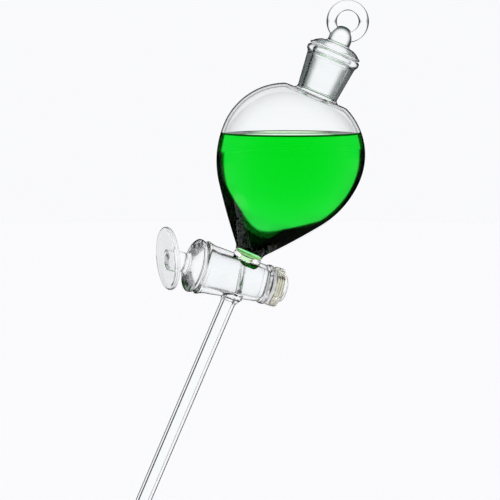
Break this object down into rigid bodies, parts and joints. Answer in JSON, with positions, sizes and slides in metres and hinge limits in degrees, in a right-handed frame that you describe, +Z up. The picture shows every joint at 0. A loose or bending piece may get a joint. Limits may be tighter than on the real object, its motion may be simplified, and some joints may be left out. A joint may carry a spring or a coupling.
{
  "type": "separatory funnel",
  "caption": "Pear-shaped glass separatory funnel with a ring-grip ground stopper, a glass stopcock with a thumb disc, a long drain stem and green liquid, leaning as clamped.",
  "frame": {"origin": "centre of the bulb's widest circle, on the funnel's axis, where a support ring surrounds the bulb", "axes": "+Z up against gravity, with the liquid level; the funnel's axis leans 23 degrees from +Z towards +X, the stopper up; -Y is the front, towards which the stopcock's handle end is turned"},
  "size_m": [0.1319, 0.083, 0.295],
  "materials": {
    "clear_glass": "clear blown borosilicate, fire polished",
    "ground_glass": "ground, matt",
    "green_water": "clear green liquid",
    "white_ptfe": "turned, satin",
    "soft_retainer": "moulded, slightly yellowed"
  },
  "bodies": {
    "glassware": {"neck_socket": "clear_glass", "bulb": "clear_glass", "throat_tube": "clear_glass", "stopcock_barrel": "clear_glass", "drain_stem": "clear_glass", "green_liquid": "green_water"},
    "stopper": {"stopper_plug": "ground_glass", "stopper_head": "clear_glass", "stopper_ring": "clear_glass"},
    "key": {"key_plug": "ground_glass", "key_handle": "clear_glass", "thumb_disc": "clear_glass", "key_tail": "clear_glass", "retaining_washer": "white_ptfe", "retaining_ring": "soft_retainer"}
  },
  "joints": [
    {"name": "stopper_lift", "type": "slide", "parent": "glassware", "child": "stopper", "axis": [0.3907, 0, 0.9205], "range_m": [0, 0.06]},
    {"name": "key_turn", "type": "hinge", "parent": "glassware", "child": "key", "pos_m": [-0.03001, 0, -0.07069], "axis": [-0.9261, -0.2588, 0.2743], "continuous": true}
  ]
}
